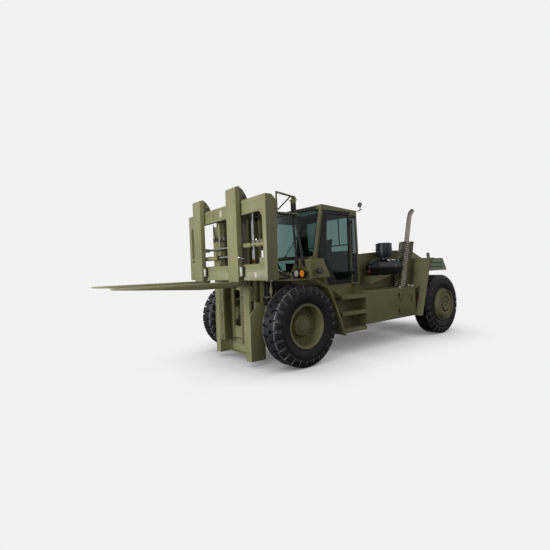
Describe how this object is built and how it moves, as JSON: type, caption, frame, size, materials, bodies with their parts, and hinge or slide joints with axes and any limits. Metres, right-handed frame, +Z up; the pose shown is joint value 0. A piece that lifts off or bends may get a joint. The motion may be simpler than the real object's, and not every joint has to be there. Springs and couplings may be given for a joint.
{
  "type": "heavy forklift truck",
  "caption": "Heavy rough-yard forklift truck with a two-stage mast raised carriage, sliding forks, glazed cab, steered rear wheels and lug tyres.",
  "frame": {"origin": "on the ground under the middle of the truck's length and width, forks included", "axes": "+X forwards along the forks, +Y to the driver's left, +Z up"},
  "size_m": [8.783, 3, 3.263],
  "materials": {
    "olive_paint": "semi-gloss",
    "tyre_rubber": "matt",
    "chrome": "polished",
    "black_plastic": "satin",
    "black_paint": "satin",
    "tinted_glass": "polished",
    "clear_glass": "polished",
    "seat_fabric": "matt",
    "greased_steel": "oiled",
    "grey_green_paint": "matt",
    "hose_rubber": "matt"
  },
  "bodies": {
    "chassis": {"chassis_frame": "olive_paint", "drive_axle": "olive_paint", "steer_axle": "olive_paint", "engine_block": "black_paint", "counterweight": "olive_paint", "side_tanks": "olive_paint", "arch_plates": "olive_paint", "engine_hood": "olive_paint", "rear_louvres": "grey_green_paint", "boarding_steps": "olive_paint", "mudguards": "olive_paint", "cab_shell": "olive_paint", "cab_glass": "tinted_glass", "cowl": "olive_paint", "seat": "seat_fabric", "controls": "black_plastic", "air_cleaner": "black_plastic", "cleaner_bracket": "olive_paint", "hose_fittings": "greased_steel", "guide_hose_near": "hose_rubber", "guide_hose_far": "hose_rubber", "exhaust_pipe": "chrome", "heat_shield": "olive_paint", "lamps": "clear_glass"},
    "compartment_door": {"compartment_door": "olive_paint"},
    "hood_lid": {"hood_lid": "olive_paint"},
    "door_left": {"door_frame_left": "black_paint", "door_glass_left": "tinted_glass"},
    "door_right": {"door_frame_right": "black_paint", "door_glass_right": "tinted_glass"},
    "outer_mast": {"outer_mast": "olive_paint", "lift_barrels": "olive_paint", "hose_guide": "olive_paint"},
    "inner_mast": {"inner_mast": "olive_paint", "lift_rods": "chrome", "sheaves": "olive_paint", "lift_chains": "greased_steel"},
    "carriage": {"carriage": "olive_paint", "positioner_barrels": "olive_paint"},
    "fork_left": {"fork_left": "olive_paint", "positioner_rod_left": "chrome"},
    "fork_right": {"fork_right": "olive_paint", "positioner_rod_right": "chrome"},
    "tilt_barrels": {"tilt_barrels": "olive_paint"},
    "tilt_rods": {"tilt_rods": "chrome"},
    "wheel_front_left": {"tyre_front_left": "tyre_rubber", "rim_front_left": "olive_paint"},
    "wheel_front_right": {"tyre_front_right": "tyre_rubber", "rim_front_right": "olive_paint"},
    "knuckle_left": {"knuckle_left": "olive_paint"},
    "knuckle_right": {"knuckle_right": "olive_paint"},
    "wheel_rear_left": {"tyre_rear_left": "tyre_rubber", "rim_rear_left": "olive_paint"},
    "wheel_rear_right": {"tyre_rear_right": "tyre_rubber", "rim_rear_right": "olive_paint"}
  },
  "joints": [
    {"name": "mast_tilt", "type": "hinge", "parent": "chassis", "child": "outer_mast", "pos_m": [1.6035, 0, 0.62], "axis": [0, 1, 0], "range_deg": [-10, 5], "deforming": ["guide_hose_near", "guide_hose_far"]},
    {"name": "mast_lift", "type": "slide", "parent": "outer_mast", "child": "inner_mast", "axis": [0, 0, 1], "range_m": [-0.245, 1.3]},
    {"name": "carriage_lift", "type": "slide", "parent": "inner_mast", "child": "carriage", "axis": [0, 0, 1], "range_m": [-1.24, 0.02], "deforming": ["lift_chains"]},
    {"name": "fork_left_slide", "type": "slide", "parent": "carriage", "child": "fork_left", "axis": [0, 1, 0], "range_m": [-0.406, 0.599]},
    {"name": "fork_right_slide", "type": "slide", "parent": "carriage", "child": "fork_right", "axis": [0, 1, 0], "range_m": [-0.36, 0.645]},
    {"name": "tilt_barrel_swing", "type": "hinge", "parent": "chassis", "child": "tilt_barrels", "pos_m": [0.4735, 0, 1.335], "axis": [0, 1, 0], "range_deg": [-4.7, 2.4]},
    {"name": "tilt_rod_stroke", "type": "slide", "parent": "tilt_barrels", "child": "tilt_rods", "axis": [0.9019, 0, 0.432], "range_m": [-0.202, 0.102]},
    {"name": "door_left_hinge", "type": "hinge", "parent": "chassis", "child": "door_left", "pos_m": [-0.4695, 0.874, 2.2], "axis": [0, 0, 1], "range_deg": [0, 95]},
    {"name": "door_right_hinge", "type": "hinge", "parent": "chassis", "child": "door_right", "pos_m": [-0.4695, -0.874, 2.2], "axis": [0, 0, -1], "range_deg": [0, 95]},
    {"name": "compartment_door_hinge", "type": "hinge", "parent": "chassis", "child": "compartment_door", "pos_m": [-1.6395, 1.281, 0.9], "axis": [0, 0, -1], "range_deg": [0, 110]},
    {"name": "hood_lid_hinge", "type": "hinge", "parent": "chassis", "child": "hood_lid", "pos_m": [-3.0405, 0, 2.144], "axis": [0, -1, 0], "range_deg": [0, 60]},
    {"name": "wheel_front_left_spin", "type": "hinge", "parent": "chassis", "child": "wheel_front_left", "pos_m": [1.3235, 1.175, 0.745], "axis": [0, 1, 0], "continuous": true},
    {"name": "wheel_front_right_spin", "type": "hinge", "parent": "chassis", "child": "wheel_front_right", "pos_m": [1.3235, -1.175, 0.745], "axis": [0, 1, 0], "continuous": true},
    {"name": "steer_left", "type": "hinge", "parent": "chassis", "child": "knuckle_left", "pos_m": [-3.2765, 0.985, 0.745], "axis": [0, 0, 1], "range_deg": [-45, 45]},
    {"name": "steer_right", "type": "hinge", "parent": "chassis", "child": "knuckle_right", "pos_m": [-3.2765, -0.985, 0.745], "axis": [0, 0, 1], "range_deg": [-45, 45]},
    {"name": "wheel_rear_left_spin", "type": "hinge", "parent": "knuckle_left", "child": "wheel_rear_left", "pos_m": [-3.2765, 1.215, 0.745], "axis": [0, 1, 0], "continuous": true},
    {"name": "wheel_rear_right_spin", "type": "hinge", "parent": "knuckle_right", "child": "wheel_rear_right", "pos_m": [-3.2765, -1.215, 0.745], "axis": [0, 1, 0], "continuous": true}
  ],
  "couplings": [
    {"joint": "tilt_barrel_swing", "follows": "mast_tilt", "ratio": 0.4595},
    {"joint": "tilt_rod_stroke", "follows": "mast_tilt", "m_per_rad": 1.1467},
    {"joint": "steer_right", "follows": "steer_left", "ratio": 1}
  ]
}
